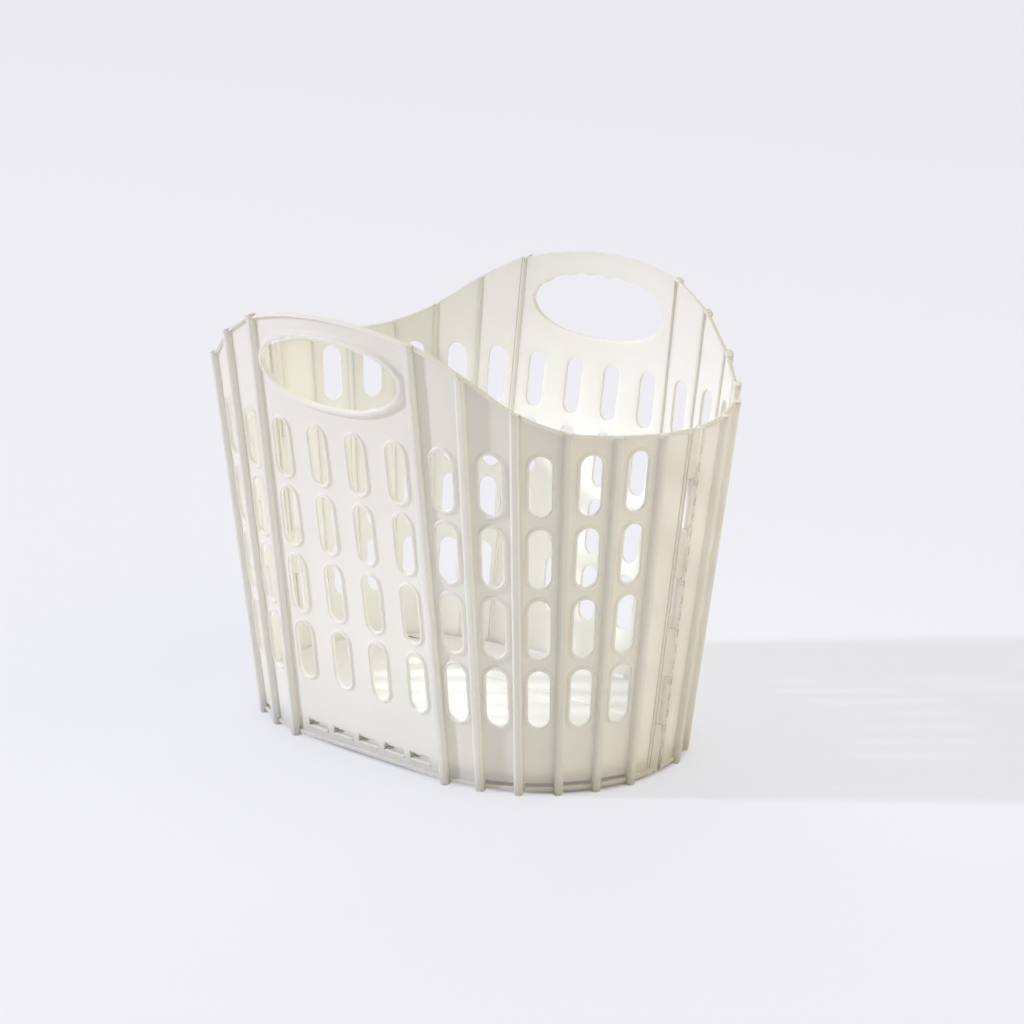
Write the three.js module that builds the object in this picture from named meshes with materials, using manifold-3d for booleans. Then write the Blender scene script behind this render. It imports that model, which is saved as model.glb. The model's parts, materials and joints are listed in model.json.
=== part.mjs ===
// Folding laundry hamper of moulded plastic.
// Two equal wall halves, each a handle panel with six staves on either side, meet at two
// knuckled side seams. Ribs between the staves are the folds. A floor of two leaves hooks into
// the front handle panel, and doubles up against it when the wall is folded flat.
// Millimetres, +Z up. The origin is on the ground under the middle of the hamper, +X is
// towards the right seam and -Y towards the front handle.

import * as THREE from 'three';
import { mergeVertices } from 'three/addons/utils/BufferGeometryUtils.js';
import Module from 'manifold-3d';

const wasm = await Module();
wasm.setup();

// Plan of the wall, at its outer face
const handleWidth = 192.8;
const staveFootWidth = 36;
const staveHeadWidth = 48.8;
const headLevel = 420;
const staveHeadings = [15, 25, 43, 55, 67.5, 82].map(THREE.MathUtils.degToRad);

// Heights of the wall's edges
const wallFoot = 3;
const rimCrown = 442;
const rimHandleDrop = 14;
const rimSeamDrop = 98;
const rimAtHandle = rimCrown - rimHandleDrop;
const rimAtSeam = rimCrown - rimSeamDrop;
const rimRiseShares = [1, 0.714, 0.345, 0.119, 0.054, 0.018, 0];
const rimArchSteps = 10;

// Moulding
const wall = 2;
const lipReach = 3;
const lipHeight = 2.2;
const bandReach = 2;
const bandHeight = 4.2;
const lipInset = 1.6;

// Ribs
const ribWidth = 8;
const ribReach = 6;
const ribWall = 1.7;
const ribCap = 2;
const crownWidthShare = 0.55;
const shoulderShare = 0.72;
const ribGap = 0.7;
const foldGap = 1;

// Slots in the staves and the handle panel
const slotWidth = 20;
const slotRows = 4;
const lowestSlotFoot = 68;
const slotHeadMargin = 12;
const slotBridge = 12;
const slotField = rimAtSeam - slotHeadMargin - lowestSlotFoot;
const slotLength = (slotField - (slotRows - 1) * slotBridge) / slotRows;
const slotPitch = slotLength + slotBridge;
const slotRimWidth = 2.3;
const slotRimHeight = 1.3;
const slotEndSteps = 3;
const slotColumnShares = [-0.37, -0.1235, 0.1235, 0.37];

// Drain slots above the foot band
const drainWidth = 28;
const drainHeight = 3.6;
const drainedStaves = [1, 2, 3, 4];

// Hand hole with finger scallops, and its collar
const holeSideMargin = 12.4;
const holeHalfLength = handleWidth / 2 - holeSideMargin;
const holeHalfHeight = 32;
const holeDrop = 54.5;
const holeLevel = rimCrown - holeDrop;
const holeEndPower = 2.6;
const holeSidePower = 0.55;
const holeSteps = 13;
const scallopPitch = 24.6;
const scallopDepth = 2.4;
const scallopShift = 7.5;
const scallopCount = 5;
const scallopSteps = 4;
const collarWidth = 4.2;
const collarReach = 4;

// Outward bow of the handle panel, growing upwards from a point on its middle line
const bowRise = 10;
const bowFoot = 100;
const bowShares = [0, 0.75, 1, 0.75, 0];

// Windows in the foot of the handle panel and the rests between them
const windowWidth = 26.5;
const windowPitch = 33;
const windowCount = 5;
const windowFoot = 12;
const windowHeight = 10.5;
const restWidth = 4;
const restDepth = 9;
const restFoot = 8;
const restRootShare = 0.15;

// Floor leaves
const floorThickness = 2.4;
const floorTop = 21;
const floorClearance = 1.4;
const floorFarClearance = 5;
const tabClearance = 2.4;
const tabTipInset = 0.4;
const seatGap = 0.3;
const floorFoldGap = 0.8;
const floorFoldLine = 60;

// Seam knuckles
const knuckleCount = 7;
const knuckleRadius = 2.8;
const knuckleSides = 10;
const knuckleGap = 0.8;
const seamEdgeGap = 6.6;
const webInset = 0.6;

// Length by which cutters and joined bodies run past a face
const overrun = 1;

const plastic = { color: 0xe9e4d4, roughness: 0.42, metalness: 0 };
const floorPlastic = { color: 0xf1efe8, roughness: 0.45, metalness: 0 };

// Solids

function solidOf(geometry) {
  const bare = geometry.clone();
  bare.deleteAttribute('normal');
  bare.deleteAttribute('uv');
  const merged = mergeVertices(bare);
  const mesh = new wasm.Mesh({
    numProp: 3,
    vertProperties: new Float32Array(merged.attributes.position.array),
    triVerts: new Uint32Array(merged.index.array),
  });
  return new wasm.Manifold(mesh);
}

function geometryOf(solid) {
  const mesh = solid.getMesh();
  const geometry = new THREE.BufferGeometry();
  geometry.setAttribute('position', new THREE.BufferAttribute(new Float32Array(mesh.vertProperties), 3));
  geometry.setIndex(new THREE.BufferAttribute(new Uint32Array(mesh.triVerts), 1));
  return geometry;
}

function movedGeometry(geometry, matrix) {
  const moved = geometry.clone().applyMatrix4(matrix);
  if (matrix.determinant() < 0) {
    const index = moved.index.array;
    for (let i = 0; i < index.length; i += 3) [index[i], index[i + 1]] = [index[i + 1], index[i]];
  }
  return moved;
}

function movedSolid(solid, matrix) {
  return solidOf(movedGeometry(geometryOf(solid), matrix));
}

function joined(solids) {
  return solids.reduce((sum, solid) => sum.add(solid));
}

// A prism of flat outlines in the panel's own plane, between two depths along its normal
function prism(shapes, from, to) {
  const geometry = new THREE.ExtrudeGeometry(shapes, { depth: to - from, bevelEnabled: false });
  geometry.translate(0, 0, from);
  return solidOf(geometry);
}

function outline(points) {
  return new THREE.Shape(points.map(([x, y]) => new THREE.Vector2(x, y)));
}

function rectangle(x0, y0, x1, y1) {
  return outline([[x0, y0], [x1, y0], [x1, y1], [x0, y1]]);
}

function stadium(x, y, width, length) {
  const radius = width / 2;
  const straight = length / 2 - radius;
  const points = [];
  for (const end of [1, -1]) {
    for (let i = 0; i <= slotEndSteps; i += 1) {
      const angle = (i / slotEndSteps) * Math.PI + (end > 0 ? 0 : Math.PI);
      points.push([x + radius * Math.cos(angle), y + end * straight + radius * Math.sin(angle)]);
    }
  }
  return outline(points);
}

// Plan of a quarter of the wall: corner lines A to F at the ribs, and the seam

function staveWidth(level) {
  return staveFootWidth + ((staveHeadWidth - staveFootWidth) * level) / headLevel;
}

function corner(index, level) {
  const width = staveWidth(level);
  let x = handleWidth / 2;
  let y = -width * staveHeadings.reduce((sum, angle) => sum + Math.sin(angle), 0);
  for (const angle of staveHeadings.slice(0, index)) {
    x += width * Math.cos(angle);
    y += width * Math.sin(angle);
  }
  return new THREE.Vector3(x, y, level);
}

function rimHeight(index) {
  return rimAtSeam + (rimAtHandle - rimAtSeam) * rimRiseShares[index];
}

// Placement of a flat panel: x runs along it, y is the height, z is the outward normal
function panelMatrix(foot, head, along) {
  const rise = head.clone().sub(foot).divideScalar(head.z - foot.z);
  const normal = along.clone().cross(rise).normalize();
  return new THREE.Matrix4().makeBasis(along, rise, normal).setPosition(foot);
}

function staveMatrix(index) {
  const foot = corner(index, 0).add(corner(index + 1, 0)).divideScalar(2);
  const head = corner(index, headLevel).add(corner(index + 1, headLevel)).divideScalar(2);
  const along = corner(index + 1, 0).sub(corner(index, 0)).normalize();
  return panelMatrix(foot, head, along);
}

function handleMatrix() {
  const foot = corner(0, 0).setX(0);
  const head = corner(0, headLevel).setX(0);
  return panelMatrix(foot, head, new THREE.Vector3(1, 0, 0));
}

function normalOf(matrix) {
  return new THREE.Vector3().setFromMatrixColumn(matrix, 2);
}

// Slots, and the raised rims round them

function slotOutlines(columns, width, length) {
  const shapes = [];
  for (const column of columns) {
    for (let row = 0; row < slotRows; row += 1) {
      const middle = lowestSlotFoot + slotLength / 2 + row * slotPitch;
      shapes.push(stadium(column, middle, width, length));
    }
  }
  return shapes;
}

function slotRims(columns) {
  const outer = slotOutlines(columns, slotWidth + 2 * slotRimWidth, slotLength + 2 * slotRimWidth);
  return prism(outer, -wall / 2, slotRimHeight);
}

function slotCutters(columns) {
  return prism(slotOutlines(columns, slotWidth, slotLength), -wall - overrun, slotRimHeight + overrun);
}

// A stave: its plate, the rim's lip, the foot band, the slots and the drain slot

function staveSolid(index) {
  const isEnd = index === staveHeadings.length - 1;
  const nearGap = ribWidth / 2 + foldGap;
  const farGap = isEnd ? seamEdgeGap : ribWidth / 2 + ribGap;
  const near = (level) => -staveWidth(level) / 2 + nearGap;
  const far = (level) => staveWidth(level) / 2 - farGap;
  const nearTop = rimHeight(index);
  const farTop = rimHeight(index + 1);
  const plate = outline([
    [near(wallFoot), wallFoot], [far(wallFoot), wallFoot], [far(farTop), farTop], [near(nearTop), nearTop],
  ]);
  const lip = outline([
    [near(nearTop) + lipInset, nearTop - lipHeight], [far(farTop) - lipInset, farTop - lipHeight],
    [far(farTop) - lipInset, farTop], [near(nearTop) + lipInset, nearTop],
  ]);
  const bandTop = wallFoot + bandHeight;
  const band = rectangle(near(wallFoot) + lipInset, wallFoot, far(wallFoot) - lipInset, bandTop);
  const trimmedLip = prism(lip, -wall / 2, lipReach).intersect(prism(plate, -wall, lipReach + overrun));
  let solid = joined([prism(plate, -wall, 0), trimmedLip, prism(band, -wall / 2, bandReach)]);
  if (!isEnd) solid = solid.add(slotRims([0])).subtract(slotCutters([0]));
  if (drainedStaves.includes(index)) {
    const drain = rectangle(-drainWidth / 2, bandTop, drainWidth / 2, bandTop + drainHeight);
    const room = outline([
      [near(bandTop) + lipInset, bandTop], [far(bandTop) - lipInset, bandTop],
      [far(bandTop) - lipInset, bandTop + drainHeight], [near(bandTop) + lipInset, bandTop + drainHeight],
    ]);
    const cutter = prism(drain, -wall - overrun, overrun).intersect(prism(room, -wall - overrun, overrun));
    solid = solid.subtract(cutter);
  }
  return solid;
}

// The seam: knuckles round an axis along the inner faces, joined to the end stave by webs

function seamAxis(level) {
  const seam = corner(staveHeadings.length, level);
  return seam.setX(seam.x - wall);
}

function knuckleSpan(slot) {
  const pitch = (rimAtSeam - wallFoot) / knuckleCount;
  const foot = wallFoot + slot * pitch + knuckleGap / 2;
  return [foot, foot + pitch - knuckleGap];
}

function knuckle(slot) {
  const [foot, head] = knuckleSpan(slot).map(seamAxis);
  const direction = head.clone().sub(foot);
  const barrel = new THREE.CylinderGeometry(knuckleRadius, knuckleRadius, direction.length(), knuckleSides);
  const turn = new THREE.Quaternion().setFromUnitVectors(new THREE.Vector3(0, 1, 0), direction.normalize());
  barrel.applyQuaternion(turn);
  const middle = foot.add(head).divideScalar(2);
  return solidOf(barrel.translate(middle.x, middle.y, middle.z));
}

function knuckleWeb(slot) {
  const [foot, head] = knuckleSpan(slot);
  const edge = (level) => staveWidth(level) / 2;
  return prism(outline([
    [edge(foot) - seamEdgeGap - overrun, foot], [edge(foot) - webInset, foot],
    [edge(head) - webInset, head], [edge(head) - seamEdgeGap - overrun, head],
  ]), -wall, 0);
}

function endStaveSolid(slots) {
  const index = staveHeadings.length - 1;
  const matrix = staveMatrix(index);
  const flat = joined([staveSolid(index), ...slots.map(knuckleWeb)]);
  return joined([movedSolid(flat, matrix), ...slots.map(knuckle)]);
}

// A rib: a round-shouldered channel, open to the inside, with a cap at the rim

function ribOutline(inset) {
  const half = ribWidth / 2 - inset;
  const crown = ribReach - inset;
  const shoulder = crown * shoulderShare;
  const crownHalf = half * crownWidthShare;
  return [[half, shoulder], [crownHalf, crown], [-crownHalf, crown], [-half, shoulder]];
}

function ribSolid(index) {
  const before = index === 0 ? handleMatrix() : staveMatrix(index - 1);
  const outward = normalOf(before).add(normalOf(staveMatrix(index)));
  const foot = corner(index, 0);
  const rise = corner(index, headLevel).sub(foot).divideScalar(headLevel);
  const across = rise.clone().cross(outward).normalize();
  const normal = across.clone().cross(rise).normalize();
  const matrix = new THREE.Matrix4().makeBasis(across, normal, rise).setPosition(foot);
  const half = ribWidth / 2;
  const top = rimHeight(index);
  const body = outline([[-half, -wall], [half, -wall], ...ribOutline(0)]);
  const groove = outline([
    [-half + ribWall, -wall - overrun], [half - ribWall, -wall - overrun], ...ribOutline(ribWall),
  ]);
  const spare = ribReach + wall;
  const channel = prism(body, -spare, top + spare).subtract(prism(groove, -2 * spare, top - ribCap));
  return movedSolid(channel, matrix).intersect(levelSlab(foot, corner(index, top), top));
}

// A level slab round a rib, from the ground to the rim, that squares the rib's two ends
function levelSlab(foot, head, top) {
  const around = ribWidth + ribReach;
  const low = foot.clone().min(head).subScalar(around);
  const high = foot.clone().max(head).addScalar(around);
  return prism(rectangle(low.x, low.y, high.x, high.y), 0, top);
}

// The handle panel

function holeUpper(x, grow) {
  const share = Math.min(1, Math.abs(x) / (holeHalfLength + grow));
  return (holeHalfHeight + grow) * (1 - share ** holeEndPower) ** holeSidePower;
}

function holeOutline(grow) {
  const points = [];
  const length = holeHalfLength + grow;
  for (let i = 0; i <= holeSteps; i += 1) {
    const x = -length * Math.cos((i / holeSteps) * Math.PI);
    points.push([x, holeLevel - holeUpper(x, grow)]);
  }
  for (let i = 1; i < holeSteps; i += 1) {
    const x = length * Math.cos((i / holeSteps) * Math.PI);
    points.push([x, holeLevel + holeUpper(x, grow)]);
  }
  return outline(points);
}

// A row of lobes that hangs into the top of the hole and leaves the finger scallops
function scallopTeeth() {
  const start = scallopShift - (scallopCount * scallopPitch) / 2;
  const points = [];
  const steps = scallopCount * scallopSteps;
  for (let i = 0; i <= steps; i += 1) {
    const x = start + (i / scallopSteps) * scallopPitch;
    const hang = scallopDepth * (1 - Math.abs(Math.sin((i / scallopSteps) * Math.PI)));
    points.push([x, holeLevel + holeUpper(x, 0) - hang]);
  }
  points.push([start + scallopCount * scallopPitch, holeLevel + holeHalfHeight + overrun]);
  points.push([start, holeLevel + holeHalfHeight + overrun]);
  return outline(points);
}

function handleFlat() {
  const half = handleWidth / 2 - ribWidth / 2 - ribGap;
  const arch = (x) => rimCrown - (rimCrown - rimAtHandle) * (x / half) ** 2;
  const archPoints = [];
  const lipPoints = [];
  for (let i = 0; i <= rimArchSteps; i += 1) {
    const x = half * (1 - (2 * i) / rimArchSteps);
    archPoints.push([x, arch(x)]);
    lipPoints.push([x * (1 - lipInset / half), arch(x)]);
  }
  const lipFoot = lipPoints.map(([x, y]) => [x, y - lipHeight]).reverse();
  const plate = outline([[-half, wallFoot], [half, wallFoot], ...archPoints]);
  const bandHalf = half - lipInset;
  const band = rectangle(-bandHalf, wallFoot, bandHalf, wallFoot + bandHeight);
  const columns = slotColumnShares.map((share) => share * handleWidth);
  const hole = prism(holeOutline(0), -wall - overrun, collarReach + overrun)
    .subtract(prism(scallopTeeth(), -wall - 2 * overrun, collarReach + 2 * overrun));
  const lip = prism(outline([...lipPoints, ...lipFoot]), -wall / 2, lipReach)
    .intersect(prism(plate, -wall, lipReach + overrun));
  return joined([
    prism(plate, -wall, 0),
    lip,
    prism(band, -wall / 2, bandReach),
    prism(holeOutline(collarWidth), -wall / 2, collarReach),
    slotRims(columns),
  ]).subtract(hole).subtract(slotCutters(columns)).subtract(windowCutters());
}

function windowCutters() {
  const shapes = [];
  for (let i = 0; i < windowCount; i += 1) {
    const x = (i - (windowCount - 1) / 2) * windowPitch;
    shapes.push(rectangle(x - windowWidth / 2, windowFoot, x + windowWidth / 2, windowFoot + windowHeight));
  }
  return prism(shapes, -wall - overrun, bandReach + overrun);
}

// Small shelves between the windows, level on top, that the floor lies on
function floorRests() {
  const shapes = [];
  const root = corner(0, restFoot).y + wall * restRootShare;
  const tip = corner(0, restFoot).y + wall + restDepth;
  for (let i = 1; i < windowCount; i += 1) {
    const x = (i - windowCount / 2) * windowPitch;
    shapes.push(rectangle(x - restWidth / 2, root, x + restWidth / 2, tip));
  }
  return prism(shapes, restFoot, floorTop - floorThickness - seatGap);
}

// Creases that spread from one point let the flat panel bow outwards in flat facets

function bowRays() {
  return bowShares.map((share, i) => {
    const x = (handleWidth / 2) * ((2 * i) / (bowShares.length - 1) - 1);
    return { x, rise: rimCrown - bowFoot, bow: bowRise * share };
  });
}

function sideOf(point, ray) {
  return point.x * ray.rise - (point.y - bowFoot) * ray.x;
}

// The point where an edge crosses a ray, worked out the same way from both of its sides
function crossing(p, q, ray) {
  const inOrder = p.x < q.x || (p.x === q.x && (p.y < q.y || (p.y === q.y && p.z < q.z)));
  const [a, b] = inOrder ? [p, q] : [q, p];
  const [sideA, sideB] = [sideOf(a, ray), sideOf(b, ray)];
  if (sideA * sideB >= 0) return null;
  const point = a.clone().lerp(b, sideA / (sideA - sideB));
  return point.y > bowFoot ? point : null;
}

function splitTriangle(corners, ray) {
  const cuts = corners.map((p, k) => crossing(p, corners[(k + 1) % 3], ray));
  const count = cuts.filter((cut) => cut).length;
  if (count === 0) return [corners];
  const start = count === 1 ? cuts.findIndex((cut) => cut) : (cuts.findIndex((cut) => !cut) + 1) % 3;
  const [a, b, c] = [0, 1, 2].map((k) => corners[(start + k) % 3]);
  const first = cuts[start];
  if (count === 1) return [[a, first, c], [first, b, c]];
  const second = cuts[(start + 1) % 3];
  return [[first, b, second], [a, first, second], [a, second, c]];
}

function bowAt(point) {
  const rays = bowRays();
  if (point.y <= bowFoot) return 0;
  const reach = (point.x * (rimCrown - bowFoot)) / (point.y - bowFoot);
  for (let i = 0; i + 1 < rays.length; i += 1) {
    if (reach >= rays[i].x && reach <= rays[i + 1].x) {
      const share = (reach - rays[i].x) / (rays[i + 1].x - rays[i].x);
      const bow = rays[i].bow + share * (rays[i + 1].bow - rays[i].bow);
      return (bow * (point.y - bowFoot)) / (rimCrown - bowFoot);
    }
  }
  return 0;
}

function bowed(flat) {
  const positions = geometryOf(flat).toNonIndexed().attributes.position;
  let triangles = [];
  for (let i = 0; i < positions.count; i += 3) {
    triangles.push([0, 1, 2].map((k) => new THREE.Vector3().fromBufferAttribute(positions, i + k)));
  }
  for (const ray of bowRays()) triangles = triangles.flatMap((corners) => splitTriangle(corners, ray));
  const bent = triangles.flat().map((point) => new THREE.Vector3(point.x, point.y, point.z + bowAt(point)));
  return new THREE.BufferGeometry().setFromPoints(bent);
}

// The floor: a front leaf hooked into the front handle panel, and a back leaf that folds onto it

function floorCorners() {
  const level = floorTop;
  const inset = wall + floorClearance;
  const quarter = [];
  for (let i = 0; i <= staveHeadings.length; i += 1) quarter.push(corner(i, level));
  const edges = [new THREE.Vector3(1, 0, 0)];
  for (let i = 0; i < staveHeadings.length; i += 1) {
    edges.push(quarter[i + 1].clone().sub(quarter[i]).normalize());
  }
  const points = [];
  for (let i = 0; i < staveHeadings.length; i += 1) {
    const half = edges[i].angleTo(edges[i + 1]) / 2;
    const inward = edges[i].clone().add(edges[i + 1]).normalize();
    const shift = inset / Math.cos(half);
    points.push([quarter[i].x - inward.y * shift, quarter[i].y + inward.x * shift]);
  }
  const last = quarter[staveHeadings.length];
  const heading = staveHeadings[staveHeadings.length - 1];
  const tipX = last.x - wall - knuckleRadius - floorClearance;
  const before = points[points.length - 1];
  points.push([tipX, before[1] + (tipX - before[0]) * Math.tan(heading)]);
  return points.filter(([x]) => x <= tipX);
}

function floorPlan() {
  const right = floorCorners();
  const trim = floorFarClearance - floorClearance;
  const half = [...right, ...right.map(([x, y]) => [x, -y - trim]).reverse()];
  return outline([...half, ...half.map(([x, y]) => [-x, y]).reverse()]);
}

function floorLeaf(from, to) {
  const reach = 2 * handleWidth;
  const level = [floorTop - floorThickness, floorTop];
  return prism(floorPlan(), ...level).intersect(prism(rectangle(-reach, from, reach, to), ...level));
}

function floorFrontLeaf() {
  const frontFace = corner(0, floorTop - floorThickness).y;
  const frontEdge = floorCorners()[0][1];
  const shapes = [];
  for (let i = 0; i < windowCount; i += 1) {
    const x = (i - (windowCount - 1) / 2) * windowPitch;
    const half = windowWidth / 2 - tabClearance;
    shapes.push(rectangle(x - half, frontFace + tabTipInset, x + half, frontEdge + overrun));
  }
  const tabs = shapes.map((shape) => prism(shape, floorTop - floorThickness, floorTop));
  return joined([floorLeaf(-handleWidth, floorFoldLine - floorFoldGap / 2), ...tabs]);
}

function floorBackLeaf() {
  return floorLeaf(floorFoldLine + floorFoldGap / 2, handleWidth);
}

// The scene

function piece(name, geometry, finish) {
  const mesh = new THREE.Mesh(geometry, new THREE.MeshStandardMaterial(finish));
  mesh.name = name;
  return mesh;
}

function quarterPieces(prefix, mirror, slots) {
  const matrix = new THREE.Matrix4().makeScale(mirror ? -1 : 1, 1, 1);
  const pieces = [];
  for (let i = 0; i < staveHeadings.length; i += 1) {
    const isEnd = i === staveHeadings.length - 1;
    const solid = isEnd ? endStaveSolid(slots) : movedSolid(staveSolid(i), staveMatrix(i));
    const name = isEnd ? `${prefix}_end_stave` : `${prefix}_stave_${i + 1}`;
    pieces.push(piece(name, movedGeometry(geometryOf(solid), matrix), plastic));
    const rib = movedGeometry(geometryOf(ribSolid(i)), matrix);
    pieces.push(piece(`${prefix}_rib_${i + 1}`, rib, plastic));
  }
  return pieces;
}

function wallHalf(name, rightPrefix, leftPrefix) {
  const half = new THREE.Group();
  const evenSlots = [];
  const oddSlots = [];
  for (let i = 0; i < knuckleCount; i += 1) (i % 2 === 0 ? evenSlots : oddSlots).push(i);
  const panel = solidOf(movedGeometry(mergeVertices(bowed(handleFlat())), handleMatrix()));
  half.add(piece(`${name}_handle_panel`, geometryOf(panel.add(floorRests())), plastic));
  half.add(...quarterPieces(rightPrefix, false, evenSlots));
  half.add(...quarterPieces(leftPrefix, true, oddSlots));
  return half;
}

const hamper = new THREE.Group();
const frontHalf = wallHalf('front', 'front_right', 'front_left');
const backHalf = wallHalf('back', 'back_left', 'back_right');
backHalf.rotation.z = Math.PI;
hamper.add(
  frontHalf,
  backHalf,
  piece('floor_front_leaf', geometryOf(floorFrontLeaf()), floorPlastic),
  piece('floor_back_leaf', geometryOf(floorBackLeaf()), floorPlastic),
);

export default hamper;
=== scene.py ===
"""A folding laundry hamper of ivory plastic: slotted staves between ribs with a channel inside, two
bowed handle panels, knuckled side seams and a floor of two leaves, on a plain pale ground."""
import json
import math

import bmesh
import bpy
import numpy as np
from mathutils import Matrix, Vector


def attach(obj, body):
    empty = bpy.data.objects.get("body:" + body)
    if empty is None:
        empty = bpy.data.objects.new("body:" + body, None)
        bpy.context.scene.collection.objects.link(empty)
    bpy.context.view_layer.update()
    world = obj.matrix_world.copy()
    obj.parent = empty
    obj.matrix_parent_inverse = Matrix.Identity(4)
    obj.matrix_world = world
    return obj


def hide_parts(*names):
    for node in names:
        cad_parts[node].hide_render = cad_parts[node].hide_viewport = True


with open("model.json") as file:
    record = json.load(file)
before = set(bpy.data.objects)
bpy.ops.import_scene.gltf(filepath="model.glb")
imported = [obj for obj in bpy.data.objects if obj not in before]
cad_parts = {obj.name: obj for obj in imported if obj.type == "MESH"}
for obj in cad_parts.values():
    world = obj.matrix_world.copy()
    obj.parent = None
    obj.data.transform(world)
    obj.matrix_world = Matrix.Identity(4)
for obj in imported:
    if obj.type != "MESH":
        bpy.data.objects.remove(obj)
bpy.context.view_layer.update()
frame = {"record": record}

# All sizes are in millimetres and are turned into metres when a piece is made.
MM = 0.001
WELD = 0.01

# Edges of every mesh: the angles in degrees
SHARP_ANGLE = 42
BEVEL_ANGLE = 55
EDGE_RADIUS = 0.35

# Plan of the wall, at its outer face
HANDLE_WIDTH = 192.8
STAVE_FOOT_WIDTH = 36.0
STAVE_HEAD_WIDTH = 48.8
HEAD_LEVEL = 420.0
HEADINGS = np.radians([15, 25, 43, 55, 67.5, 82])
END = len(HEADINGS) - 1

# Edges of the wall
WALL_FOOT = 3.0
RIM_CROWN = 442.0
RIM_HEIGHTS = [428.0, 404.0, 373.0, 354.0, 348.5, 345.5, 344.0]
RIM_SLOPES = [-19.0, -27.5, -25.0, -12.25, -4.25, -2.25, 0.0]
RIM_TUCK = 0.3
WALL = 2.0

# Ribs
RIB_HALF = 4.0
RIB_REACH = 6.0
RIB_WALL = 1.7
RIB_SHOULDER = 4.25
RIB_TOP_HALF = 2.35
CHANNEL_FLOOR = 0.6
CHANNEL_BEVEL = 1.0
RIB_FOOT_SHRINK = 0.94
FIRST_RIB_EASE = 2.0
FOLD_GAP = 1.0
FOLD_RIBS = (0, 2, 4)
FOLD_LEAN = 0.53
SIDE_LAP = 0.15
SEAM_EDGE_GAP = 6.6

# The cap of a rib: its section, how far below the rib's top each of its rings stands, and how far
# each ring shrinks, on a size of CAP_SIZE
CAP_HALF = 4.2
CAP_SHOULDER = 4.3
CAP_TOP_HALF = 2.5
CAP_REACH = 6.2
CAP_DROPS = np.array([2.3, 1.95, 0.7, 0.2, 0.0])
CAP_INSETS = np.array([0.35, 0.0, 0.0, 0.25, 0.75])
CAP_SIZE = 5

# The thin web that stands for the bending plastic of a fold
WEB_FOOT = 0.4
WEB_HEAD = 1.0
WEB_LAP = 0.4
WEB_DEPTHS = (-0.55, -0.1)

# Foot of a stave: its drain slit, and the heights of its other rows of points
DRAIN_FOOT = 7.2
DRAIN_HEAD = 10.8
DRAIN_INSET = 0.9
DRAIN_BORDER = 12.5
COLUMNS_MEET = 20.0
FOOT_MIDDLE = 41.0

# Slots, with a raised bead round each
SLOT_HALF_WIDTH = 10.0
SLOT_STRAIGHT = 18.5
CELL_HALF = 34.5
SLOT_MIDDLES = [96.5, 165.5, 234.5, 303.5]
FIELD_FOOT = SLOT_MIDDLES[0] - CELL_HALF
FIELD_HEAD = SLOT_MIDDLES[-1] + CELL_HALF
ARC_STEPS = 16
STRAIGHT_STEPS = 6

# The bead's section: distance out from the slot's edge, and height above the plate
BEAD = [(3.9, 0.0), (3.5, 0.08), (3.15, 0.4), (2.85, 1.0), (2.5, 1.55), (1.95, 1.85),
        (1.3, 1.95), (0.6, 1.8), (0.15, 1.3), (0.0, 0.6)]

# How a slot or a hand hole meets the inner face: distance out from its edge, and height above
# that face. One more ring lies midway from a cell's border to the edge grown by INNER_SPREAD.
INNER_EDGE = [(0.0, 0.4), (0.12, 0.1), (0.4, 0.0)]
INNER_SPREAD = 3.0

# The mark of the moulding gate, a small raised ring on one stave: its place, radius and thickness
GATE_MARK = ((1.0, 42.0), 1.7, 0.18)

# Hand hole
HOLE_HALF_LENGTH = 84.0
HOLE_HALF_HEIGHT = 32.0
HOLE_LEVEL = 387.5
HOLE_END_POWER = 2.6
HOLE_SIDE_POWER = 0.55
HOLE_END_STEPS = 20
HOLE_RUN_STEPS = 96
SCALLOP_PITCH = 24.6
SCALLOP_DEPTH = 2.4
SCALLOP_SHIFT = 7.5
SCALLOP_COUNT = 5
SCALLOP_END_FADE = 9.0
SCALLOP_COLLAR_FADE = 3.6
COLLAR = [(7.2, 0.0), (6.0, 0.25), (5.1, 0.8), (4.6, 1.7), (4.35, 3.4), (4.1, 4.1),
          (3.6, 4.5), (2.9, 4.6), (1.0, 4.45), (0.35, 4.2), (0.0, 3.6)]
BOW_RISE = 10.0
BOW_FOOT = 100.0
BOW_EASE = 0.6
HANDLE_EDGE = HANDLE_WIDTH / 2 - RIB_HALF + SIDE_LAP

# Foot of the handle panel
WINDOWS = 5
WINDOW_PITCH = 33.0
WINDOW_HALF = 13.25
WINDOW_FOOT = 12.0
WINDOW_HEAD = 22.5
UNDER_WINDOWS = 7.2
OVER_WINDOWS = 40.0
REST_HALF = 2.0
REST_FOOT = 8.0
REST_HEAD = 18.2
REST_REACH = 9.0
PAD_RADIUS = 0.6
FOOT_COLUMNS = np.array([0, 6.6, 13.25, 19.75, 25, 31, 37, 42, 46.25,
                         52.75, 58, 63, 68, 73, 79.25, 86, HANDLE_EDGE])
COLUMN_BORDER = 46.25
SLOT_COLUMNS = [-71.34, -23.81, 23.81, 71.34]

# Floor leaves
FLOOR_TOP = 21.0
FLOOR_CLEARANCE = 1.4
FLOOR_FAR_CLEARANCE = 5.0
FLOOR_FOLD_LINE = 60.0
FLOOR_FOLD_GAP = 0.8
LEAF_CORNER = 1.5

# Rings of a leaf from its middle over its edge and under it: distance in from the edge, and depth
# below the floor's top
LEAF_RINGS = [(40, 0.55), (11, 0.55), (10.2, 0.5), (8.6, 0.1), (8, 0), (0.9, 0),
              (0.25, 0.2), (0, 0.7), (0, 1.7), (0.25, 2.2), (0.9, 2.4), (40, 2.4)]

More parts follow.
